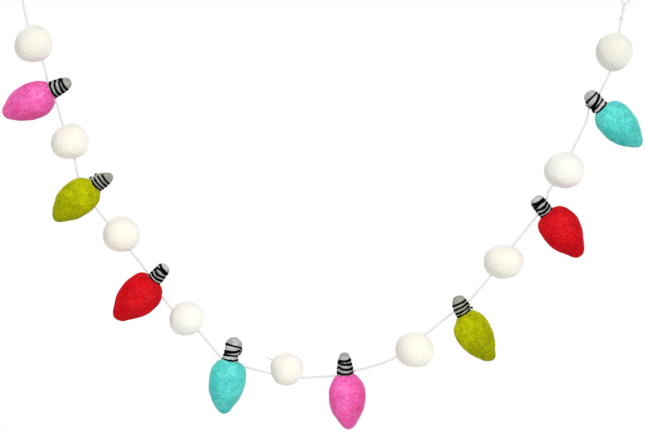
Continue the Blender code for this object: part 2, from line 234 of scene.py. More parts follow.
# A material with one Principled shader, and the ways to add nodes to it.
class Finish:
    def __init__(self, name, slot):
        self.slot = slot
        self.material = bpy.data.materials.new(name)
        self.material.use_nodes = True
        self.shader = self.material.node_tree.nodes["Principled BSDF"]

    def node(self, kind, settings=None, sockets=None, output=0):
        made = self.material.node_tree.nodes.new(kind)
        for name, value in (settings or {}).items():
            setattr(made, name, value)
        for name, value in (sockets or {}).items():
            self.set(made.inputs[name], value)
        return Wire(self, made.outputs[output])

    def set(self, socket, value):
        if isinstance(value, Wire):
            self.material.node_tree.links.new(value.socket, socket)
        else:
            socket.default_value = value

    def noise(self, where, size, detail=2.0, roughness=0.5, output="Fac"):
        return self.node("ShaderNodeTexNoise", None, {
            "Vector": where, "Scale": 1 / (size * mm), "Detail": detail, "Roughness": roughness}, output)

    # Streaks of fibre: noises squeezed across their directions, added up, from none to full.
    def streaks(self, where, look):
        total = None
        for size, turn in look["strands"]:
            turned = self.node("ShaderNodeMapping", None, {
                "Vector": where, "Rotation": turn, "Scale": (1, look["squeeze"], look["squeeze"])})
            noise = self.noise(turned, size)
            total = total + noise if total else noise
        return self.ramp(total, *look["range"])

    def ramp(self, value, low, high):
        return self.node("ShaderNodeMapRange", None, {
            "Value": value, "From Min": low, "From Max": high})

    def mix(self, share, first, second):
        return self.node("ShaderNodeMix", {"data_type": "RGBA"}, {0: share, 6: first, 7: second}, 2)

    def where(self):
        return self.node("ShaderNodeTexCoord", None, None, "Object")

    def attribute(self, name, output):
        return self.node("ShaderNodeAttribute", {"attribute_name": name}, None, output)

    # A colour less the share of it that the piece's own tint and painted light and shade take away.
    def withTintAndPaintedLight(self, colour):
        kept = self.node("ShaderNodeVectorMath", {"operation": "MULTIPLY_ADD"}, {
            0: self.attribute("tintAndPaintedLight", "Color"), 1: (-1,) * 3, 2: (1,) * 3}, "Vector")
        return self.node("ShaderNodeVectorMath", {"operation": "MULTIPLY"}, {0: colour, 1: kept}, "Vector")

    def bump(self, height, distance, strength):
        return self.node("ShaderNodeBump", None, {
            "Height": height, "Distance": distance * mm, "Strength": strength}, "Normal")

    def surface(self, sockets):
        for name, value in sockets.items():
            self.set(self.shader.inputs[name], value)


# A colour as the eye reads it, from 0 to 255, made linear.
def tone(*levels):
    share = np.array(levels) / 255
    linear = np.where(share <= 0.04045, share / 12.92, ((share + 0.055) / 1.055) ** 2.4)
    return (*linear.tolist(), 1)


# Each felt's tones from its creases to its loosest fibres, how far creases (as painted shade), patches and
# mottle go to the deep tone and streaks to the light one, how much it is raised, and the pale bloom of
# standing fibres towards its edges, which on the balls spreads wider and is whiter.
felts = {
    "white": {"tones": ((208, 203, 190), (230, 227, 214), (241, 239, 228)),
              "crease": 0.25, "patch": 0.12, "mottle": 0.18, "streak": 0.21, "relief": 0.25,
              "bloom": 1.0, "spread": 0.65, "veil": (1, 1, 1, 1)},
    "pink": {"tones": ((194, 33, 118), (228, 73, 158), (246, 148, 208)),
             "crease": 0.45, "patch": 0.38, "mottle": 0.39, "streak": 0.399, "relief": 0.35},
    "lime": {"tones": ((104, 108, 0), (177, 184, 0), (209, 213, 22)),
             "crease": 0.8, "patch": 0.28, "mottle": 0.48, "streak": 0.35, "relief": 0.85},
    "red": {"tones": ((152, 0, 8), (203, 1, 14), (228, 40, 50)),
            "crease": 0.55, "patch": 0.4, "mottle": 0.57, "streak": 0.42, "relief": 0.4},
    "turquoise": {"tones": ((22, 156, 148), (68, 204, 196), (146, 240, 234)),
                  "crease": 0.7, "patch": 0.36, "mottle": 0.48, "streak": 0.385, "relief": 0.3},
    "grey": {"tones": ((104, 104, 102), (166, 166, 164), (214, 214, 212)),
             "crease": 0.5, "patch": 0.36, "mottle": 0.54, "streak": 0.35, "relief": 0.6, "bloom": 0.3},
}
feltLook = {  # of each felt that says no other: sizes in mm, and each noise's range from none to full
    "drift": 7, "bend": 10,  # a slow noise that bends the mottle and the streaks, so far
    "patches": 15, "patchRange": (0.36, 0.64),
    "mottle": (5.5, 3.0, 0.62), "mottleRange": (0.36, 0.62),  # size, detail and roughness
    "broad": {"strands": [(7.0, (0.3, 0.5, 0.8)), (6.0, (1.2, -0.4, 1.9))],  # size and turn
              "squeeze": 3.5, "range": (0.84, 1.26)},
    "fine": {"strands": [(2.8, (-0.7, 1.1, 0.9)), (2.4, (0.5, -0.9, 0.2)), (2.0, (1.7, 0.2, -0.6))],
             "squeeze": 7.0, "range": (1.28, 1.85)},
    "fineLight": 0.16, "rises": (0.4, 0.3, 0.3),  # of the fine streaks, the broad ones and the mottle
    "bump": 0.4, "roughness": 0.95, "smoother": 0.1, "gloss": 0.03, "bloom": 0.75, "spread": 0.5,
}


# Felt: broad patches and a mottle between its tones, broad and fine streaks of fibre lying every
# way, and painted shade, the deep tone, where it is hollow. The streaks and the mottle also raise the
# surface.
def feltFinish(slot, felt, look=feltLook):
    deep, main, light = (tone(*each) for each in felt["tones"])
    finish = Finish(f"felt_{slot}", slot)
    where = finish.where()
    drift = finish.noise(where, look["drift"], 1.0, 0.5, "Color")
    bent = finish.node("ShaderNodeVectorMath", {"operation": "MULTIPLY_ADD"}, {
        0: drift, 1: (look["bend"] * mm,) * 3, 2: where}, "Vector")
    patches = finish.ramp(finish.noise(where, look["patches"], 1.0), *look["patchRange"])
    mottle = finish.ramp(finish.noise(bent, *look["mottle"]), *look["mottleRange"])
    broad = finish.streaks(bent, look["broad"])
    fine = finish.streaks(bent, look["fine"])
    depth = 1 - (1 - mottle) * felt["mottle"] - (1 - patches) * felt["patch"]
    body = finish.mix(depth, deep, main)
    streaked = finish.mix(broad * felt["streak"] + fine * look["fineLight"], body, light)
    # painted shade: the deep tone where the felt is hollow, in creases, dents, grooves and towards a bulb's
    # tip
    creased = finish.mix(finish.attribute("hollow", "Fac") * felt["crease"], streaked, deep)
    fineRise, broadRise, mottleRise = look["rises"]
    height = fine * fineRise + broad * broadRise + mottle * mottleRise
    finish.surface({
        "Base Color": finish.withTintAndPaintedLight(creased), "Roughness": look["roughness"] - fine * look["smoother"],
        "Normal": finish.bump(height, look["bump"], felt["relief"]), "Specular IOR Level": look["gloss"],
        "Sheen Weight": felt.get("bloom", look["bloom"]), "Sheen Tint": felt.get("veil", light),
        "Sheen Roughness": felt.get("spread", look["spread"])})
    return finish


# Each thread's tones, deep to light. The string is white, and its grey tones paint its shade.
twists = {
    "black": ((0, 0, 0), (1, 1, 2), (16, 16, 17)),
    "string": ((185, 185, 187), (214, 214, 215), (232, 232, 233)),
}
threadLook = {
    "strands": [(1.4, (0.4, 0.9, 0.3)), (1.1, (1.4, -0.5, 1.2))], "squeeze": 5.0, "range": (0.85, 1.25),
    # the groove's deep tone is painted shade between the plies
    "groove": (0.35, 1.0),  # how hollow it is where its deep tone starts, and where that is full
    "light": 0.35, "roughness": 0.9, "smoother": 0.1, "bump": 0.12, "relief": 0.6, "gloss": 0.03,
}


# Twisted thread: fibre streaks between its tones, and painted shade, its deep tone, in the groove between
# two plies.
def threadFinish(slot, tones, look=threadLook):
    deep, main, light = (tone(*each) for each in tones)
    finish = Finish(f"thread_{slot}", slot)
    fibres = finish.streaks(finish.where(), look)
    groove = finish.ramp(finish.attribute("hollow", "Fac"), *look["groove"])
    finish.surface({
        "Base Color": finish.mix(fibres * look["light"], finish.mix(groove, main, deep), light),
        "Roughness": look["roughness"] - fibres * look["smoother"],
        "Normal": finish.bump(fibres, look["bump"], look["relief"]), "Specular IOR Level": look["gloss"]})
    return finish


finishes = {slot: feltFinish(slot, felt) for slot, felt in felts.items()}
finishes.update({slot: threadFinish(slot, tones) for slot, tones in twists.items()})
print("finishes made")


# String

string = {
    "diameter": 1.6, "plies": 3, "pitch": 5.0, "pinch": 0.16, "step": 0.55, "columns": 12,
    "fluff": 0.2,  # how far its fibres stand out from it
    "route": [  # through every bead, (across, down)
        (8.7, 42.0), (13.6, 65.5), (28.9, 102.1), (33.8, 123.6), (39.0, 137.6), (42.8, 144.2),
        (48.4, 164.6), (60.5, 200.0), (63.6, 216.3), (81.9, 249.0), (94.9, 265.1), (117.3, 292.8),
        (125.5, 303.0), (134.0, 314.3), (146.6, 334.6), (158.7, 351.0), (184.5, 372.1), (207.1, 398.6),
        (223.8, 405.8), (256.5, 414.3), (288.2, 418.6), (322.7, 416.5), (339.7, 411.7), (352.1, 409.1),
        (370.2, 403.3), (383.0, 397.2), (414.0, 373.5), (440.6, 351.9), (454.8, 342.1), (478.1, 314.7),
        (497.7, 288.2), (524.3, 255.1), (532.7, 240.2), (534.3, 232.8), (539.2, 225.1), (558.6, 191.1),
        (571.7, 163.4), (575.4, 148.4), (585.2, 134.7), (596.2, 111.7), (605.1, 71.4),
    ],
    "loop": [  # from the string's end up behind itself and round: aside, above the tie, behind
        (0.2, -2.0, 1.7), (0.2, 6.0, 1.7), (0.1, 13.0, 1.7), (3.3, 17.6, 0.7), (5.3, 23.0, 0.1),
        (0, 32.8, 0), (-5.3, 23.0, 0), (-3.3, 17.6, 0), (0, 13.0, 0), (0, 1.0, 0),
    ],
    "ease": 0.55,  # how far it rounds its turns inside the beads
}
tail = {  # a short free end beside the fifth ball
    "route": [(259.0, 401.6), (257.2, 400.2), (255.0, 399.4), (252.8, 398.7), (250.6, 398.2)],
    "diameter": 1.4, "plies": 2, "pitch": 4.6, "pinch": 0.2, "step": 0.3, "columns": 10,
    "thinner": 0.5,  # the share of its thickness that it has lost at its tip
}
ties = {
    "places": {"left": ((6.4, 31.4), -11.5), "right": ((607.5, 59.3), 11.0)},  # middle, lean in degrees
    "diameter": 1.0, "turns": 1.5, "rise": 1.4, "halfWidth": 1.2, "halfDepth": 1.95,
    "behind": 0.819,  # its middle lies this far behind the front strand's
    "plies": 3, "pitch": 3.4, "pinch": 0.14, "points": 90, "columns": 10,
}


# A tie's middle, and the directions of its loop: to the right, up, and back.
def tieFrame(side):
    middle, lean = ties["places"][side]
    turn = radians(lean)
    up = np.array((sin(turn), 0, cos(turn)))
    right = np.array((cos(turn), 0, -sin(turn)))
    return place(*middle), np.array([right, up, np.cross(up, right)])


def loopRows(side):
    middle, directions = tieFrame(side)
    return middle + np.array(string["loop"]) * mm @ directions


# The turn that ties a loop: an oval helix round both strands.
def makeTie(side):
    middle, (right, up, back) = tieFrame(side)
    turn = 2 * pi * ties["turns"] * np.linspace(-0.5, 0.5, ties["points"])[:, None]
    line = (middle + back * ties["behind"] * mm + up * ties["rise"] * mm * turn / (2 * pi)
            + right * ties["halfWidth"] * mm * np.sin(turn) - back * ties["halfDepth"] * mm * np.cos(turn))
    strand = strandGrid(line, lengthAlong(line), up, ties["diameter"] / 2 * mm, ties)
    return surfaceMesh(f"tie_{side}", finishes["string"], *strand)


# The free end: a strand that thins and frays towards its tip.
def makeTail():
    line, along = evenLine([place(*row) for row in tail["route"]], tail["step"] * mm)
    radius = tail["diameter"] / 2 * mm * (1 - tail["thinner"] * (along / along[-1]) ** 3)
    strand = strandGrid(line, along, (0, 1, 0), radius, tail)
    return surfaceMesh("string_tail", finishes["string"], *strand)


def makeString():
    rows = np.vstack([loopRows("left"), [place(*row) for row in string["route"]],
                      loopRows("right")[::-1]])
    loop = len(string["loop"])
    ease = np.r_[np.ones(loop), np.full(len(string["route"]), string["ease"]), np.ones(loop)]
    line, along = evenLine(rows, string["step"] * mm, ease)
    radius = (string["diameter"] / 2 + string["fluff"]) * mm
    strand = strandGrid(line, along, (0, 1, 0), radius, string)
    piece = surfaceMesh("string_twisted", finishes["string"], *strand)
    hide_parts("string")
    extras = [makeTie(side) for side in ties["places"]] + [makeTail()]
    print(f"string made, {along[-1]:.3f} m")
    return line


stringLine = makeString()


# Felt surfaces

felting = {  # mm of each felt's swells, dimples and creases, and their spacing
    "white": (0.10, 0.04, 0.05, 6.5), "pink": (0.12, 0.05, 0.12, 6.0), "lime": (0.14, 0.09, 0.30, 4.6),
    "red": (0.12, 0.05, 0.12, 6.5), "turquoise": (0.14, 0.08, 0.22, 4.8), "grey": (0.08, 0.08, 0.10, 3.6),
}
feltShape = {
    "lengths": (2.2, 0.62, 1.5, 2.4),  # in spacings: of the swells, dimples, creases and creased areas
    "narrow": 0.22,  # a crease fades to a third where its waves are this far from zero
    # the finish paints shade where a point is hollow
    "inCrease": 0.7, "inDimple": 0.22,  # how hollow each is to the finish
}
hole = {"balls": 0.45, "bulbs": 0.15, "width": 1.4,  # the dent that the tight string draws into a bead
        "reach": 9, "batch": 40}  # how far off it is looked for, and how many of its points at a time
roots = {slot: [] for slot in felts}  # where fibres may stand: points, outward directions and areas
seeds = {  # a bead adds its number, or ten times that where it is felted, which takes four seeds
    "ballLumps": 100, "bodyLumps": 200,  # as in the source
    "ball": 1000, "body": 2000, "base": 4000, "apart": 10, "yarn": 3000, "fibres": 5000,
}


# How far the string's line is from each point, and the reach where that is more.
def fromString(points):
    reach = hole["reach"] * mm
    flat = points.reshape(-1, 3)
    close = (stringLine > flat.min(0) - reach) & (stringLine < flat.max(0) + reach)
    near = stringLine[close.all(axis=1)]
    distance = np.full(len(flat), reach)
    for first in range(0, len(near), hole["batch"]):
        gaps = np.linalg.norm(flat[:, None] - near[first:first + hole["batch"]], axis=-1)
        distance = np.minimum(distance, gaps.min(1))
    return distance.reshape(points.shape[:-1])


# Felts a smooth grid: raises it by slow swells and small dimples, and sinks it round the string's
# holes and along creases, which lie where one field of waves is near zero and another is high.
# Returns the grid and how hollow each point is, which the finish paints as shade.
def felted(grid, slot, kind, number, more=1.0):
    swellSize, dimpleSize, creaseSize, spacing = felting[slot]
    seed = seeds[kind] + seeds["apart"] * number
    normals = outward(grid)
    swell, dimple, line, creased = (waves(grid, spacing * mm * length, seed + n)
                                    for n, length in enumerate(feltShape["lengths"]))
    crease = np.exp(-(line / feltShape["narrow"]) ** 2) * np.clip(creased * 0.5 + 0.5, 0, 1)
    depth = hole["balls" if slot == "white" else "bulbs"]
    dent = np.exp(-(fromString(grid) / (hole["width"] * mm)) ** 2) * depth
    rise = swell * swellSize + (dimple * dimpleSize - crease * creaseSize) * more - dent
    grid = grid + normals * (rise * mm)[..., None]
    # painted shade: hollow in creases, low dimples and the string's dents, less on raised dimples
    hollow = np.clip(crease * feltShape["inCrease"] - dimple * feltShape["inDimple"] + dent, 0, 1)
    patch = np.cross(np.roll(grid, -1, axis=1) - grid, np.gradient(grid, axis=0))
    area = np.linalg.norm(patch, axis=-1)[1:-1].ravel()
    roots[slot].append((grid[1:-1].reshape(-1, 3), outward(grid)[1:-1].reshape(-1, 3), area))
    return grid, hollow


# Balls

# A bulge is degrees from the right round by the top, seen from the front, and millimetres out, or in.
balls = [  # middle, width, height, bulges and stain
    ((19.7, 83.7), 37.5, 36.7, [(90, -0.4), (150, -1.4), (228, 2.1), (325, 1.4)], (0.13, 0.13, 0.14)),
    ((55.9, 182.0), 36.7, 35.4, [(125, -0.9), (218, 1.4), (322, 1.3)], (0.08, 0.09, 0.10)),
    ((107.2, 274.5), 36.7, 36.0, [(60, -0.8), (148, -0.8), (222, 0.7), (330, 1.3)], (0.07, 0.08, 0.09)),
    ((173.5, 359.0), 35.6, 34.2, [(70, -1.2), (228, 1.9), (333, -1.1)], (0.05, 0.04, 0.01)),
    ((273.0, 410.0), 33.4, 32.2, [(45, -0.6), (240, 0.9)], (0.03, 0.04, 0.05)),
    ((400.8, 390.2), 36.9, 35.7, [(92, -0.7), (212, 1.5), (325, 1.1)], (0.03, 0.03, 0.05)),
    ((489.3, 301.8), 38.6, 33.3, [(76, -1.2), (24, 0.9), (238, 1.7), (322, 1.6)], (0.05, 0.06, 0.07)),
    ((550.0, 210.5), 39.8, 35.7, [(120, -0.7), (228, 0.8), (308, 1.0)], (0.08, 0.07, 0.03)),
    ((600.3, 92.8), 37.7, 38.8, [(5, -0.1), (228, -0.6), (268, 0.7), (305, -1.1)], (0.18, 0.17, 0.18)),
]
# painted shade on each ball's left and lower rim and painted light on its upper right, with a few small
# spots
ballPaintedLightAndSpots = [  # for each ball: degrees as above, share of the radius out, size in mm, the colour's loss
    [(180, 0.95, 9, (0.15, 0.14, 0.14)), (215, 0.8, 4, (0.06, 0.10, 0.10)),
     (15, 1, 13, (-0.15, -0.16, -0.19)), (345, 0.75, 6, (-0.01, 0.02, -0.02))],
    [(185, 0.95, 9, (0.13, 0.12, 0.12)), (222, 0.75, 5, (0.02, 0.03, 0.06)),
     (20, 1, 13, (-0.13, -0.14, -0.18)), (105, 0.6, 7, (-0.01, 0.02, 0.02))],
    [(190, 0.9, 8, (0.06, 0.05, 0.06)), (150, 0.8, 4, (0.04, 0.02, 0.06)),
     (30, 1, 14, (-0.09, -0.10, -0.14)), (235, 0.65, 6, (0, 0.04, 0.02))],
    [(180, 0.95, 8, (0.05, 0.05, 0.05)), (10, 1, 14, (-0.16, -0.16, -0.18)),
     (90, 1, 12, (-0.04, -0.05, -0.06))],
    [(140, 1, 12, (-0.04, -0.04, -0.04)), (222, 0.85, 5, (0.06, 0.07, 0.06)),
     (60, 1, 12, (-0.05, -0.06, -0.08))],
    [(175, 1, 12, (-0.07, -0.08, -0.10)), (270, 0.95, 10, (-0.08, -0.08, -0.10)),
     (80, 1, 12, (-0.05, -0.07, -0.11))],
    [(95, 1, 14, (-0.03, -0.05, -0.08)), (250, 0.95, 9, (-0.04, -0.04, -0.07))],
    [(175, 1, 12, (-0.04, -0.05, -0.06)), (90, 1, 14, (-0.05, -0.05, -0.06))],
    [(262, 0.95, 9, (0.07, 0.07, 0.05)), (30, 1, 14, (-0.04, -0.05, -0.08)),
     (190, 0.5, 4, (0, 0, 0.06))],
]
ballGrid = {"rows": 76, "columns": 104, "lump": 0.45,
            "spread": 0.22}  # a bulge fades to a third where 1 less the cosine of the angle is this


# A ball's tint with its patches of painted light and shade, each fading to a third at its size from its
# middle on the surface.
def ballTintAndPaintedLight(directions, radius, tintAndPaintedLight, patches):
    lost = np.broadcast_to(tintAndPaintedLight, directions.shape)
    for degrees, out, size, loss in patches:
        turn = radians(degrees)
        middle = (out * cos(turn), -sqrt(1 - out ** 2), out * sin(turn))
        away = np.linalg.norm(directions - middle, axis=-1) * radius / size
        lost = lost + np.exp(-away ** 2)[..., None] * loss
    return lost


# A ball: directions from pole to pole and round, times the half width, depth and height, with the
# solid's lumps and the bulges. The poles lie on the string's way through it.
def makeBall(number, middle, width, height, bulges, tintAndPaintedLight):
    middle = place(*middle)
    inside = stringLine[np.linalg.norm(stringLine - middle, axis=1) < width / 2 * mm]
    axis = unit(inside[-1] - inside[0])
    right = unit(np.cross((0, 1, 0), axis))
    back = np.cross(axis, right)
    down = np.linspace(0, pi, ballGrid["rows"])[:, None, None]
    around = anglesRound(ballGrid["columns"])[None, :, None]
    directions = np.sin(down) * (right * np.cos(around) + back * np.sin(around)) - np.cos(down) * axis
    half = np.array((width, (width + height) / 2, height)) / 2
    lump = lumps(directions, seeds["ballLumps"] + number)[..., None] * ballGrid["lump"]
    for degrees, rise in bulges:
        toward = (cos(radians(degrees)), 0, sin(radians(degrees)))
        lump = lump + rise * np.exp((directions @ toward - 1) / ballGrid["spread"])[..., None]
    felt = felted(middle + directions * (half + lump) * mm, "white", "ball", number)
    tintAndPaintedLight = ballTintAndPaintedLight(directions, width / 2, tintAndPaintedLight, ballPaintedLightAndSpots[number - 1])
    piece = surfaceMesh(f"felt_ball_{number}", finishes["white"], *felt, tintAndPaintedLight)
    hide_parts(f"ball_{number}")


for number, ball in enumerate(balls, 1):
    makeBall(number, *ball)
print("balls made")


# Bulbs

bulbNames = ("felt", "tip", "neck", "end", "aside", "lean", "bow", "sway", "girth", "under", "lift")
bulbs = [dict(zip(bulbNames, row)) for row in (  # as in the source: places, degrees of lean, and mm
    ("pink", (-12.4, 155.2), (39.2, 130.8), (57.7, 122.1), -0.1, 12, 0.5, -0.5, 18.6, 0, 0),
    ("lime", (39.7, 261.0), (81.8, 226.0), (98.9, 216.4), -0.4, 5, -1.4, -0.2, 18.1, 1.5, 0),
    ("red", (100.9, 359.7), (140.5, 320.3), (152.6, 306.6), -0.2, 8, 0.7, -0.5, 19.6, 0, 0),
    ("turquoise", (209.7, 454.9), (216.0, 400.7), (222.4, 378.2), 0, 3, -0.6, -0.7, 18.4, 0, 0),
    ("pink", (334.8, 470.7), (331.5, 414.0), (330.1, 392.7), -0.3, 11, 0.3, -0.4, 18.4, 0, 0.4),
    ("lime", (478.8, 401.7), (450.0, 354.4), (443.4, 336.9), -0.2, 2, -1.7, 0.35, 18.1, 0, 0),
    ("red", (567.4, 296.5), (532.6, 253.4), (520.3, 238.6), -0.4, 5, 0.7, -0.5, 19.6, 0, 0),
    ("turquoise", (627.2, 186.4), (587.3, 149.1), (572.7, 133.3), 0, 3, 0.3, -0.4, 18.2, 0, 0),
)]
seating = {"firstTurn": 1.1, "bendLength": 8.0, "gap": 0.3}


# Adds to a bulb the directions and lengths that its pieces share, as in the source.
def layOut(bulb):
    tip, neck, end = (place(*bulb[name]) for name in ("tip", "neck", "end"))
    flat = unit(neck - tip)
    lean = radians(bulb["lean"])
    bulb["axis"] = flat * cos(lean) - np.array((0, sin(lean), 0))
    bulb["right"] = np.array((flat[2], 0, -flat[0]))
    bulb["back"] = np.cross(bulb["axis"], bulb["right"])
    bulb["seat"] = neck - bulb["axis"] * seating["firstTurn"] * mm
    bulb["bodyLength"] = np.linalg.norm(neck - tip) / mm / cos(lean) - seating["firstTurn"]
    bulb["baseLength"] = (end - bulb["seat"]) @ flat / mm
    reach = (end - bulb["seat"]) @ bulb["right"] / mm - bulb["aside"]
    bulb["bend"] = reach / (bulb["baseLength"] - seating["bendLength"] / 2)


# The place at a height above the seat, an angle from the right towards the back, and so far out.
# Over the first stretch above the seat the axis bends evenly towards the base's end.
def onBulb(bulb, height, angle, out):
    share = np.clip(height / seating["bendLength"], 0, 1)
    turn = (bulb["bend"] * share)[..., None]
    aside = bulb["bend"] * share * np.where(share < 1, height / 2, height - seating["bendLength"] / 2)
    aside = aside + np.where(height > 0, bulb["aside"], 0)
    right = bulb["right"] * np.cos(turn) - bulb["axis"] * np.sin(turn)
    ring = right * np.cos(angle)[..., None] + bulb["back"] * np.sin(angle)[..., None]
    middle = bulb["axis"] * height[..., None] + bulb["right"] * aside[..., None]
    return bulb["seat"] + (middle + ring * out[..., None]) * mm


for bulb in bulbs:
    layOut(bulb)


# Bulb bodies

closed = [(1.006, 0.2), (1.0, 0)]  # at the neck
slimTip = [(0, 0), (0.013, 0.155), (0.06, 0.315), (0.13, 0.47), (0.22, 0.65), (0.33, 0.825),
           (0.46, 0.95), (0.60, 1.0), (0.71, 1.0)]
bodyForms = {  # for each felt, from tip to neck: share of the length, share of the girth
    "pink": [(0, 0), (0.013, 0.17), (0.06, 0.335), (0.13, 0.49), (0.22, 0.67), (0.33, 0.84),
             (0.46, 0.955), (0.60, 1.0), (0.71, 0.985), (0.81, 0.89), (0.895, 0.74), (0.955, 0.60),
             (0.992, 0.48), (1.008, 0.40), *closed],
    "lime": [*slimTip, (0.81, 0.935), (0.895, 0.79), (0.955, 0.63), (0.992, 0.50), (1.008, 0.42), *closed],
    "turquoise": [*slimTip, (0.815, 0.965), (0.90, 0.85), (0.958, 0.68), (0.992, 0.50), (1.008, 0.40),
                  *closed],
    "red": [(0, 0), (0.013, 0.19), (0.06, 0.35), (0.13, 0.47), (0.22, 0.625), (0.33, 0.81),
            (0.45, 0.945), (0.60, 1.0), (0.72, 0.995), (0.82, 0.945), (0.905, 0.845), (0.96, 0.69),
            (0.992, 0.50), (1.008, 0.39), *closed],
}
bodyShape = {
    "rows": 116, "columns": 116,
    "lump": 0.40, "lumpEnds": (3, 4),  # it is whole from a third of the girth to 1/4 before the neck
    "tip": 0.5,  # the share of the length in which the felt is worked to a point
    # tipPaintedShade is painted shade added towards the tip, on top of the crease shade
    "creased": 0.8, "tipCreased": 0.7, "tipPaintedShade": 0.3,
    "collar": (0.93, 0.06),  # where the neck starts to creep, and the share in which it does
}
# painted shade: each body's colour darker towards its tip by this share
paintedTipShade = {"pink": 0.03, "lime": 0.32, "red": 0.03, "turquoise": 0.13}  # light lost from neck to tip
collars = {"red": (0, 0.8), "turquoise": (180, 1.2)}  # degrees round, and mm that the neck creeps up there
# blotches partly of uneven dye and partly of painted highlights and painted shade on the bodies' sides
dyeAndPaintedLightBlotches = {  # share of the length from the tip, degrees round, size in mm, and the colour's loss
    "pink": [(0.82, -100, 8, (-0.06, -0.5, -0.24)), (0.52, -98, 7, (0.02, -0.24, -0.1)),
             (0.62, -25, 8, (0.07, 0.4, 0.34)), (0.42, -40, 7, (0.08, 0.36, 0.3)),
             (0.62, -155, 8, (0.03, 0.36, 0.2)), (0.25, -75, 5, (0.05, 0.25, 0.18))],
    "lime": [(0.79, -80, 10, (-0.17, -0.17, 0.1)), (0.33, -135, 8, (0.1, 0.1, 0)),
             (0.55, -25, 6, (0.02, 0.08, 0)), (0.25, -70, 7, (-0.06, -0.06, -0.5))],
    "red": [(0.78, -75, 8, (-0.08, -1.2, -0.7)), (0.5, -88, 7, (-0.06, -0.9, -0.5)),
            (0.55, -145, 9, (0.05, 0.7, 0.4)), (0.28, -100, 8, (0.03, 0.5, 0.3))],
    "turquoise": [(0.85, -78, 8, (-0.3, -0.12, -0.12)), (0.52, -150, 8, (0.54, 0.16, 0.19)),
                  (0.7, -135, 4, (0.3, 0.06, 0.08)), (0.5, -35, 8, (-0.35, -0.11, -0.13)),
                  (0.3, -140, 6, (0.3, 0.1, 0.12))],
}


# The colour that a body's felt loses: a steady share from neck to tip, painted shade darker towards
# the tip, and each blotch's, partly dye and partly painted light and shade, which fades to a third at
# its size from its middle on the surface.
def bodyDyeAndPaintedLight(bulb, along, height, angle, radius):
    points = np.stack([radius * np.cos(angle), radius * np.sin(angle), height], axis=-1)
    tintAndPaintedLight = paintedTipShade[bulb["felt"]] * (1 - along)[..., None]
    for share, degrees, size, loss in dyeAndPaintedLightBlotches[bulb["felt"]]:
        row = np.argmin(np.abs(along[:, 0] - share))
        column = round((degrees % 360) / 360 * bodyShape["columns"])
        away = np.linalg.norm(points - points[row, column], axis=-1)
        tintAndPaintedLight = tintAndPaintedLight + np.exp(-(away / size) ** 2)[..., None] * loss
    return tintAndPaintedLight


# A body: its form's smooth profile turned about the axis, bowed aside most at mid-length and swayed
# to one side and back, with the solid's lumps. Some necks creep up the base on one side, the creases are
# deeper towards the tip, and painted shade grows towards the tip.
def makeBody(number, bulb, shape=bodyShape):
    along, out = smoothThrough(bodyForms[bulb["felt"]], shape["rows"]).T
    steep = np.linspace(0, pi, shape["rows"])
    along, out, steep, angle = np.broadcast_arrays(
        along[:, None], np.maximum(out, 0)[:, None], steep[:, None], anglesRound(shape["columns"]))
    directions = [np.sin(steep) * np.cos(angle), np.sin(steep) * np.sin(angle), np.cos(steep)]
    fromTip, fromNeck = shape["lumpEnds"]
    fade = np.clip(np.minimum(fromTip * out, fromNeck * (1 - along)), 0, 1)
    lump = lumps(np.stack(directions, axis=-1), seeds["bodyLumps"] + number) * shape["lump"] * fade
    radius = np.where(out > 0, bulb["girth"] * out + lump, 0)
    height = bulb["bodyLength"] * (along - 1) - seating["gap"] / 2
    towards, creep = collars.get(bulb["felt"], (0, 0))
    facing = 0.5 + 0.5 * np.cos(angle - radians(towards))
    start, length = shape["collar"]
    height = height + creep * facing ** 2 * np.clip((along - start) / length, 0, 1)
    grid = onBulb(bulb, height, angle, radius)
    bow = bulb["bow"] * np.clip(1 - (2 * along - 1) ** 4, 0, 1)
    sway = bulb["sway"] * np.sin(2 * pi * np.clip(along, 0, 1))
    grid = grid + bulb["right"] * (bow + sway)[..., None] * mm
    tipwards = np.clip(1 - along / shape["tip"], 0, 1)
    more = shape["creased"] + shape["tipCreased"] * tipwards
    grid, hollow = felted(grid, bulb["felt"], "body", number, more)
    # painted shade, growing towards the tip
    hollow = np.clip(hollow + shape["tipPaintedShade"] * tipwards, 0, 1)
    tintAndPaintedLight = bodyDyeAndPaintedLight(bulb, along, height, angle, radius)
    piece = surfaceMesh(f"felt_body_{number}", finishes[bulb["felt"]], grid, hollow, tintAndPaintedLight)
    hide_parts(f"bulb_{number}_body")


for number, bulb in enumerate(bulbs, 1):
    makeBody(number, bulb)
print("bodies made")


# Yarn

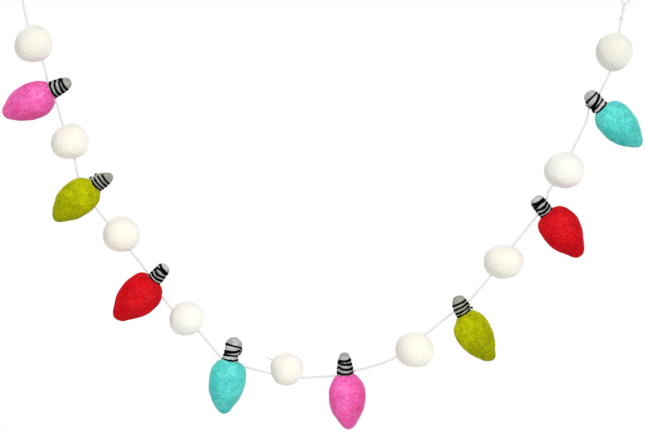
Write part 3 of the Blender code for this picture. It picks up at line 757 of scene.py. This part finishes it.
frontAngles = (-150, -120, -90, -60, -30, 90)  # from the bulb's left round its front, then behind
windings = {  # for each turn from the neck up: its heights seen from the front, and the yarn's widths
    "pink": [((1.4, 0.2, -0.3, -0.4, 0.8, 3.5), (2.9, 1.9, 1.8, 2.6, 2.6, 1.8)),
             ((6.7, 5.0, 4.2, 4.1, 4.8, 8.0), (2.5, 2.0, 2.0, 2.2, 2.9, 1.9)),
             ((11.2, 9.9, 9.2, 9.1, 9.1, 10.6), (2.6, 2.1, 2.0, 2.3, 2.8, 1.9)),
             ((12.9, 12.7, 12.5, 12.7, 13.6, 14.3), (2.8, 2.2, 2.0, 2.3, 2.8, 1.6))],
    "lime": [((0.9, 0.7, 0.4, 0.9, 1.9, 3.0), (1.7, 1.8, 1.6, 1.7, 1.7, 1.6)),
             ((3.7, 3.6, 4.0, 4.8, 5.8, 6.0), (1.4, 1.8, 1.6, 1.8, 2.0, 1.6)),
             ((7.0, 7.4, 7.9, 8.8, 9.8, 10.2), (1.9, 1.8, 1.7, 2.0, 2.1, 1.6)),
             ((11.2, 11.4, 11.9, 12.4, 13.2, 13.6), (1.9, 2.0, 1.7, 1.8, 1.7, 1.4))],
    "red": [((0.8, 0.1, -0.3, -0.2, 0.7, 2.0), (1.5, 1.5, 1.4, 1.8, 1.7, 1.7)),
            ((4.3, 3.2, 3.2, 3.6, 4.7, 6.4), (2.2, 2.2, 2.0, 2.2, 2.4, 2.0)),
            ((8.6, 7.7, 6.9, 7.6, 8.6, 9.8), (2.2, 2.2, 2.6, 2.2, 2.0, 2.0)),
            ((11.4, 12.0, 12.4, 12.1, 12.3, 13.6), (2.2, 2.2, 2.2, 2.2, 2.2, 2.0)),
            ((15.7, 14.6, 14.1, 13.8, 13.8, 14.6), (2.1, 2.2, 2.1, 2.1, 2.0, 1.7))],
    "turquoise": [((0.9, 0.4, 0.6, 0.7, 1.6, 2.8), (1.6, 2.2, 1.5, 1.8, 2.0, 1.7)),
                  ((4.9, 5.0, 5.5, 6.1, 6.7, 6.9), (1.9, 1.9, 1.7, 1.6, 1.7, 1.8)),
                  ((7.6, 8.1, 9.0, 10.5, 12.1, 13.6), (3.1, 2.8, 2.6, 2.6, 3.0, 1.8)),
                  ((15.1, 15.3, 15.4, 15.6, 15.6, 15.8), (2.4, 2.0, 1.7, 1.6, 1.6, 1.4))],
}
widths = [  # each base's half width over the yarn, (height above the seat, half width)
    [(0, 8.9), (3, 8.8), (6, 8.6), (9, 8.2), (12, 7.6), (14.5, 7.2), (16.5, 6.5), (18.5, 5.5), (20.5, 3.7)],
    [(0, 8.3), (3, 8.5), (6, 8.5), (9, 8.2), (12, 7.4), (14, 6.6), (16, 5.7), (18, 4.5), (19.4, 3.0)],
    [(0, 7.9), (3, 8.0), (6, 7.8), (9, 7.6), (12, 7.1), (15, 6.9), (16.8, 6.3), (18.2, 5.1), (19.2, 3.4)],
    [(0, 8.5), (3, 8.3), (6, 7.7), (9, 7.7), (12, 8.2), (15, 8.9), (18, 8.5), (20.5, 7.2), (22.4, 5.0)],
    [(0, 8.3), (3, 8.8), (6, 8.4), (9, 7.8), (12, 7.2), (15, 6.9), (17, 6.1), (19, 5.2), (20.9, 4.2)],
    [(0, 8.0), (3, 8.3), (6, 8.4), (9, 8.5), (11, 8.3), (13.5, 7.7), (15.5, 6.9), (17.5, 5.7), (18.8, 3.9)],
    [(0, 7.8), (3, 7.9), (6, 8.1), (9, 8.0), (12, 7.8), (15, 7.6), (17.5, 6.9), (19.2, 5.6), (20.2, 3.6)],
    [(0, 8.4), (3, 8.3), (6, 8.2), (9, 8.3), (12, 8.4), (15, 8.3), (17.5, 7.5), (20, 6.1), (21.6, 4.0)],
]
yarn = {
    "plies": 2, "pitch": 4.2, "pinch": 0.14, "step": 0.45, "columns": 14,
    "thick": 1.9,  # out from the felt; its width along the base is the table's
    "spread": 1.34,  # times that width, as its edges are in shade
    "sunk": 0.35,  # the felt's surface lies this far inside the yarn's outer edge
    "groove": 1.15,  # that the yarn presses into the felt
    "start": -198, "higher": 0.4,  # degrees round where it starts, and so much above its first height
    "fine": 16, "skip": 4,  # points worked out for each row, and every so many of them kept
    "tuck": 2.4, "tuckAngle": 0.22,  # each end dips so far in, which fades to a third at this angle
    "uneven": 0.05, "unevenLength": 5,
    "knot": 0.6, "knotSize": 0.9,  # a loose end is thicker by this share at its knot, and there so long
    "endPoints": 40,
}
looseEnds = [  # bulb, angle from its right to the front, thickness, (height above the seat, distance out)
    (2, 180, 1.3, [(-0.2, 7.6), (0.5, 8.6), (1.4, 8.9), (2.2, 8.2)]),
    (2, 180, 1.3, [(5.0, 7.8), (5.7, 8.6), (6.5, 8.7), (7.3, 8.0)]),
    (4, 12, 1.3, [(15.8, 7.6), (15.9, 8.4), (14.4, 8.9), (12.6, 9.1), (11.0, 8.9), (9.6, 8.2),
                  (8.8, 7.6)]),
    (6, 10, 1.5, [(10.0, 7.6), (8.9, 8.5), (7.4, 8.3), (5.6, 7.8), (4.2, 8.7), (2.7, 9.9), (1.8, 10.6)]),
    (7, 158, 1.5, [(15.4, 6.6), (14.2, 7.1), (13.0, 7.3), (11.8, 7.3)]),
    (7, 132, 2.2, [(15.2, 6.4), (14.4, 6.9), (13.4, 7.0), (12.6, 6.8)]),
    (8, 160, 1.2, [(14.6, 10.4), (12.9, 10.0), (10.8, 9.6), (8.6, 8.4), (7.0, 8.5), (5.4, 9.2),
                   (3.0, 9.3)]),
]


def widthAt(number, height):
    return np.interp(height, *zip(*widths[number - 1]))


# The winding as angle, height and width at close steps: smooth curves through its table's numbers,
# on round the base from turn to turn, from a start behind its left side. As the bulb leans, its
# front is seen lower by the half width times the sine of the lean, and this is added back.
def windingCurve(number, bulb):
    heights, thick = windings[bulb["felt"]][0]
    rows = [(radians(yarn["start"]), heights[0] + yarn["higher"], thick[0])]
    for turn, (heights, thick) in enumerate(windings[bulb["felt"]]):
        rows += zip(np.radians(frontAngles) + 2 * pi * turn, heights, thick)
    angle, height, thick = smoothThrough(rows, yarn["fine"] * len(rows)).T
    lean = radians(bulb["lean"])
    lift = bulb["lift"] - widthAt(number, height) * sin(lean) * np.sin(angle)
    return angle, (height + lift) / cos(lean), thick


# How much of the yarn the felt covers at an angle: most at the left side of a bulb that has "under",
# where the yarn lies so many millimetres deeper.
def covered(bulb, angle):
    return (0.5 - 0.5 * np.cos(angle)) ** 8 * (bulb["under"] > 0)


# The winding's strand, out from the axis by the base's half width less the yarn's own. Both ends
# dip into the felt.
def makeWinding(number, bulb):
    angle, height, thick = bulb["wound"]
    fromEnd = np.minimum(angle - angle[0], angle[-1] - angle)
    tuck = yarn["tuck"] * np.exp(-(fromEnd / yarn["tuckAngle"]) ** 2)
    out = widthAt(number, height) - yarn["thick"] / 2 - tuck - covered(bulb, angle) * bulb["under"]
    path = onBulb(bulb, height, angle, out)
    line, along = evenLine(path[::yarn["skip"]], yarn["step"] * mm)
    share = np.linspace(0, 1, len(along))
    wider = np.interp(share, np.linspace(0, 1, len(thick)), thick) / yarn["thick"]
    uneven = 1 + yarn["uneven"] * waves(line, yarn["unevenLength"] * mm, seeds["yarn"] + number)
    radius = yarn["thick"] / 2 * mm * uneven
    strand = strandGrid(line, along, bulb["axis"], radius, yarn, wider * yarn["spread"])
    piece = surfaceMesh(f"yarn_winding_{number}", finishes["black"], *strand)
    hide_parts(f"bulb_{number}_winding")


# A yarn's loose end: the same strand along its own rows, knotted thick at its tip.
def makeLooseEnd(number, angle, thick, rows):
    bulb = bulbs[number - 1]
    height, out = smoothThrough(rows, yarn["endPoints"]).T
    path = onBulb(bulb, height, np.full(height.shape, -radians(angle)), out)
    line, along = evenLine(path, yarn["step"] * mm)
    size = yarn["knotSize"] * mm
    knot = 1 + yarn["knot"] * np.exp(-((along[-1] - along - size) / size) ** 2)
    strand = strandGrid(line, along, bulb["back"], thick / 2 * mm * knot, yarn)
    surfaceMesh(f"yarn_end_{number}", finishes["black"], *strand)


for number, bulb in enumerate(bulbs, 1):
    bulb["wound"] = windingCurve(number, bulb)
    makeWinding(number, bulb)
for end in looseEnds:
    makeLooseEnd(*end)
print("yarn wound")


# Bases

baseShape = {
    "rows": 84, "columns": 96,
    "lift": 0.15,  # it starts so far above the seat, and ends so far past the base's length
    "foot": 0.6,  # the share of its first half width at which it turns up from the seat
    # the groove under the yarn is painted shaded by groovePaintedShade
    "grooveWidth": 1.1, "groovePaintedShade": 0.5, "rounding": 3,
    "end": 15, "endLength": 4,  # how far above the seat its end begins, and the length it fades in over
}
# each base's grey made a little darker, lighter or more olive for its bulb
baseTints = {"pink": (0.09, 0.09, 0.10), "lime": (0.15, 0.13, 0.28), "red": (0, 0, 0.01),
              "turquoise": (-0.16, -0.17, -0.16)}
# painted highlight: the red bases' ends made lighter
endPaintedHighlight = {"red": -0.4}  # and so much more at its end


# How far along the base the nearest turn of yarn is, in shares of that turn's half width: the
# winding's height and width read at this angle on every turn.
def fromYarn(bulb, height, angle):
    woundAngle, woundHeight, thick = bulb["wound"]
    nearest = np.full(height.shape, 9.0)
    for turn in range(len(windings[bulb["felt"]]) + 1):
        at = np.mod(angle - woundAngle[0], 2 * pi) + woundAngle[0] + 2 * pi * turn
        away = np.abs(height - np.interp(at, woundAngle, woundHeight))
        share = away * 2 / np.interp(at, woundAngle, thick)
        nearest = np.where(at < woundAngle[-1], np.minimum(nearest, share), nearest)
    return nearest


# A base: its half widths turned about the bending axis and closed at both ends, drawn in to a
# groove under each turn of yarn, painted shaded there, then felted.
def makeBase(number, bulb, shape=baseShape):
    lift, first = shape["lift"], widths[number - 1][0][1]
    top = (bulb["baseLength"] + lift, 0)
    rows = [(lift, 0), (lift, first * shape["foot"]), *widths[number - 1], top]
    height, out = smoothThrough(rows, shape["rows"]).T
    height, out = np.clip(height, lift, None)[:, None], np.maximum(out, 0)[:, None]
    angle = anglesRound(shape["columns"])[None]
    height, out, angle = np.broadcast_arrays(height, out, angle)
    near = np.exp(-(fromYarn(bulb, height, angle) / shape["grooveWidth"]) ** 4)
    groove = near * (1 - covered(bulb, angle))
    above = np.clip((top[0] - height) / shape["rounding"], 0, 1)
    inside = (yarn["sunk"] * above + groove * yarn["groove"]) * np.clip(out / shape["rounding"], 0, 1)
    grid = onBulb(bulb, height, angle, np.maximum(out - inside, 0))
    grid, hollow = felted(grid, "grey", "base", number)
    # painted shade in the groove under each turn of yarn
    hollow = np.clip(hollow + groove * shape["groovePaintedShade"], 0, 1)
    # its tint, and at the red bases' ends a painted highlight
    end = np.clip((height - shape["end"]) / shape["endLength"], 0, 1)[..., None]
    tintAndPaintedLight = baseTints[bulb["felt"]] + end * endPaintedHighlight.get(bulb["felt"], 0)
    piece = surfaceMesh(f"felt_base_{number}", finishes["grey"], grid, hollow, tintAndPaintedLight)
    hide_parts(f"bulb_{number}_base")


for number, bulb in enumerate(bulbs, 1):
    makeBase(number, bulb)
print("bases made")


# Loose fibres

fuzz = {  # for each colour: how many fibres, and the longest
    "white": (4400, 1.7), **dict.fromkeys(("pink", "lime", "red", "turquoise"), (1000, 1.6)),
    "grey": (1400, 1.5),
}
fibre = {
    "thick": 0.05, "thinner": 0.6,  # and the share of this that it has lost at its end
    "rings": 4, "sides": 3, "sunk": 0.2, "upright": (0.25, 1.0), "leaning": 0.6, "curl": 0.9,
    "shortest": 0.25, "power": 1.6,  # from this share to all of the longest, to this power
    "aside": (0.3, 0.5, 0.8),  # any direction
}


# Fibres: from each root a thin three-sided strand of four rings, leaning over and curling as the
# square of the way along it, thinner towards its end.
def makeFuzz(slot, seed):
    rings, sides = fibre["rings"], fibre["sides"]
    starts, normals, area = (np.concatenate(part) for part in zip(*roots[slot]))
    rng = np.random.default_rng(seed)
    count, longest = fuzz[slot]
    chosen = rng.choice(len(starts), count, p=area / area.sum())
    start, normal = starts[chosen], normals[chosen]
    lean = unit(rng.normal(size=(count, 3)))
    forward = unit(normal * rng.uniform(*fibre["upright"], (count, 1)) + lean * fibre["leaning"])
    turned = np.cross(forward, unit(rng.normal(size=(count, 3))))
    curl = turned * rng.uniform(-fibre["curl"], fibre["curl"], (count, 1))
    length = longest * mm * rng.uniform(fibre["shortest"], 1, (count, 1)) ** fibre["power"]
    t = np.linspace(0, 1, rings)[:, None, None]
    line = start - normal * fibre["sunk"] * mm + (forward * t + curl * t ** 2) * length
    side = unit(np.cross(forward, fibre["aside"]))
    up = np.cross(forward, side)
    corner = np.arange(sides)
    angle = corner * 2 * pi / sides
    ring = side[:, None] * np.cos(angle)[:, None] + up[:, None] * np.sin(angle)[:, None]
    thick = fibre["thick"] / 2 * mm * (1 - fibre["thinner"] * t[..., None])
    points = (line[:, :, None] + ring[None] * thick).transpose(1, 0, 2, 3).reshape(-1, 3)
    below = (np.arange(rings - 1) * sides)[:, None]
    low, after = below + corner, below + np.roll(corner, -1)
    quads = np.stack([low, after, after + sides, low + sides], axis=-1).reshape(-1, 4)
    caps = np.stack([corner[::-1], corner + sides * (rings - 1)])
    first = (np.arange(count) * sides * rings)[:, None, None]
    faces = (quads + first).reshape(-1, 4).tolist() + (caps + first).reshape(-1, sides).tolist()
    finishedPiece(f"fibres_{slot}", points, faces, finishes[slot])


for number, slot in enumerate(fuzz):
    makeFuzz(slot, seeds["fibres"] + number)
print("fibres made")


# Floor and light

ground = {
    "below": 250, "half": 2300, "points": 96,
    "whole": 0.35,  # the share of its half width that isn't faded
    "clouds": 120, "tones": (tone(240, 240, 240), tone(248, 248, 248)), "roughness": 0.8,
}
lamps = [  # name, place in metres, size in metres, watts and what it reaches
    ("bulb key", (0.9, -4.5, 1.7), 2.0, 165, "rest"),
    ("ball key", (2.5, -3.8, 2.05), 2.0, 172, "balls"),
    ("ball fill", (-0.9, -2.8, -1.2), 1.8, 46, "balls"),
    ("bulb fill", (-1.4, -3.0, -0.1), 1.6, 15, "rest"),
]
ambient = 0.545  # strength of the surround's own light


# A disc, faded out towards its rim so that it runs into the white surround.
def makeFloor():
    half, count = ground["half"] * mm, ground["points"]
    middle = np.array((place(*camera["middle"])[0], 0, cadBox[0].z - ground["below"] * mm))
    turn = anglesRound(count)
    rim = middle + np.stack([np.cos(turn), np.sin(turn), 0 * turn], axis=-1) * half
    mesh = bpy.data.meshes.new("floor")
    mesh.from_pydata(rim, [], [list(range(count))])
    finish = Finish("floor", None)
    where = finish.where()
    fromMiddle = finish.node("ShaderNodeVectorMath", {"operation": "DISTANCE"}, {
        0: where, 1: middle}, "Value")
    finish.surface({
        "Alpha": finish.ramp(fromMiddle, half, half * ground["whole"]),
        "Base Color": finish.mix(finish.noise(where, ground["clouds"]), *ground["tones"]),
        "Roughness": ground["roughness"]})
    mesh.materials.append(finish.material)
    floor = newObject("floor", mesh)
    lit["rest"].objects.link(floor)


# A square lamp that reaches only the balls or only the rest, as the photo's beads were lit apart.
def makeLight(name, middle, size, power, reaches):
    data = bpy.data.lights.new(name, "AREA")
    data.size = size
    data.energy = power
    lamp = newObject(name, data)
    lamp.location = middle
    lamp.light_linking.receiver_collection = lit[reaches]
    aim = Vector(place(*camera["middle"])) - lamp.location
    lamp.rotation_euler = aim.to_track_quat("-Z", "Y").to_euler()


# A white surround: full white where the camera sees it, and dimmer where it lights the felt.
def makeWorld():
    world = bpy.data.worlds.new("surround")
    world.use_nodes = True
    nodes, links = world.node_tree.nodes, world.node_tree.links
    path = nodes.new("ShaderNodeLightPath")
    strength = nodes.new("ShaderNodeMapRange")
    strength.inputs["To Min"].default_value = ambient
    strength.inputs["To Max"].default_value = 1.0
    links.new(path.outputs["Is Camera Ray"], strength.inputs["Value"])
    links.new(strength.outputs[0], nodes["Background"].inputs["Strength"])
    nodes["Background"].inputs["Color"].default_value = (1, 1, 1, 1)
    bpy.context.scene.world = world


makeFloor()
for lamp in lamps:
    makeLight(*lamp)
makeWorld()
bpy.context.scene.view_settings.view_transform = "Standard"
print("studio made")
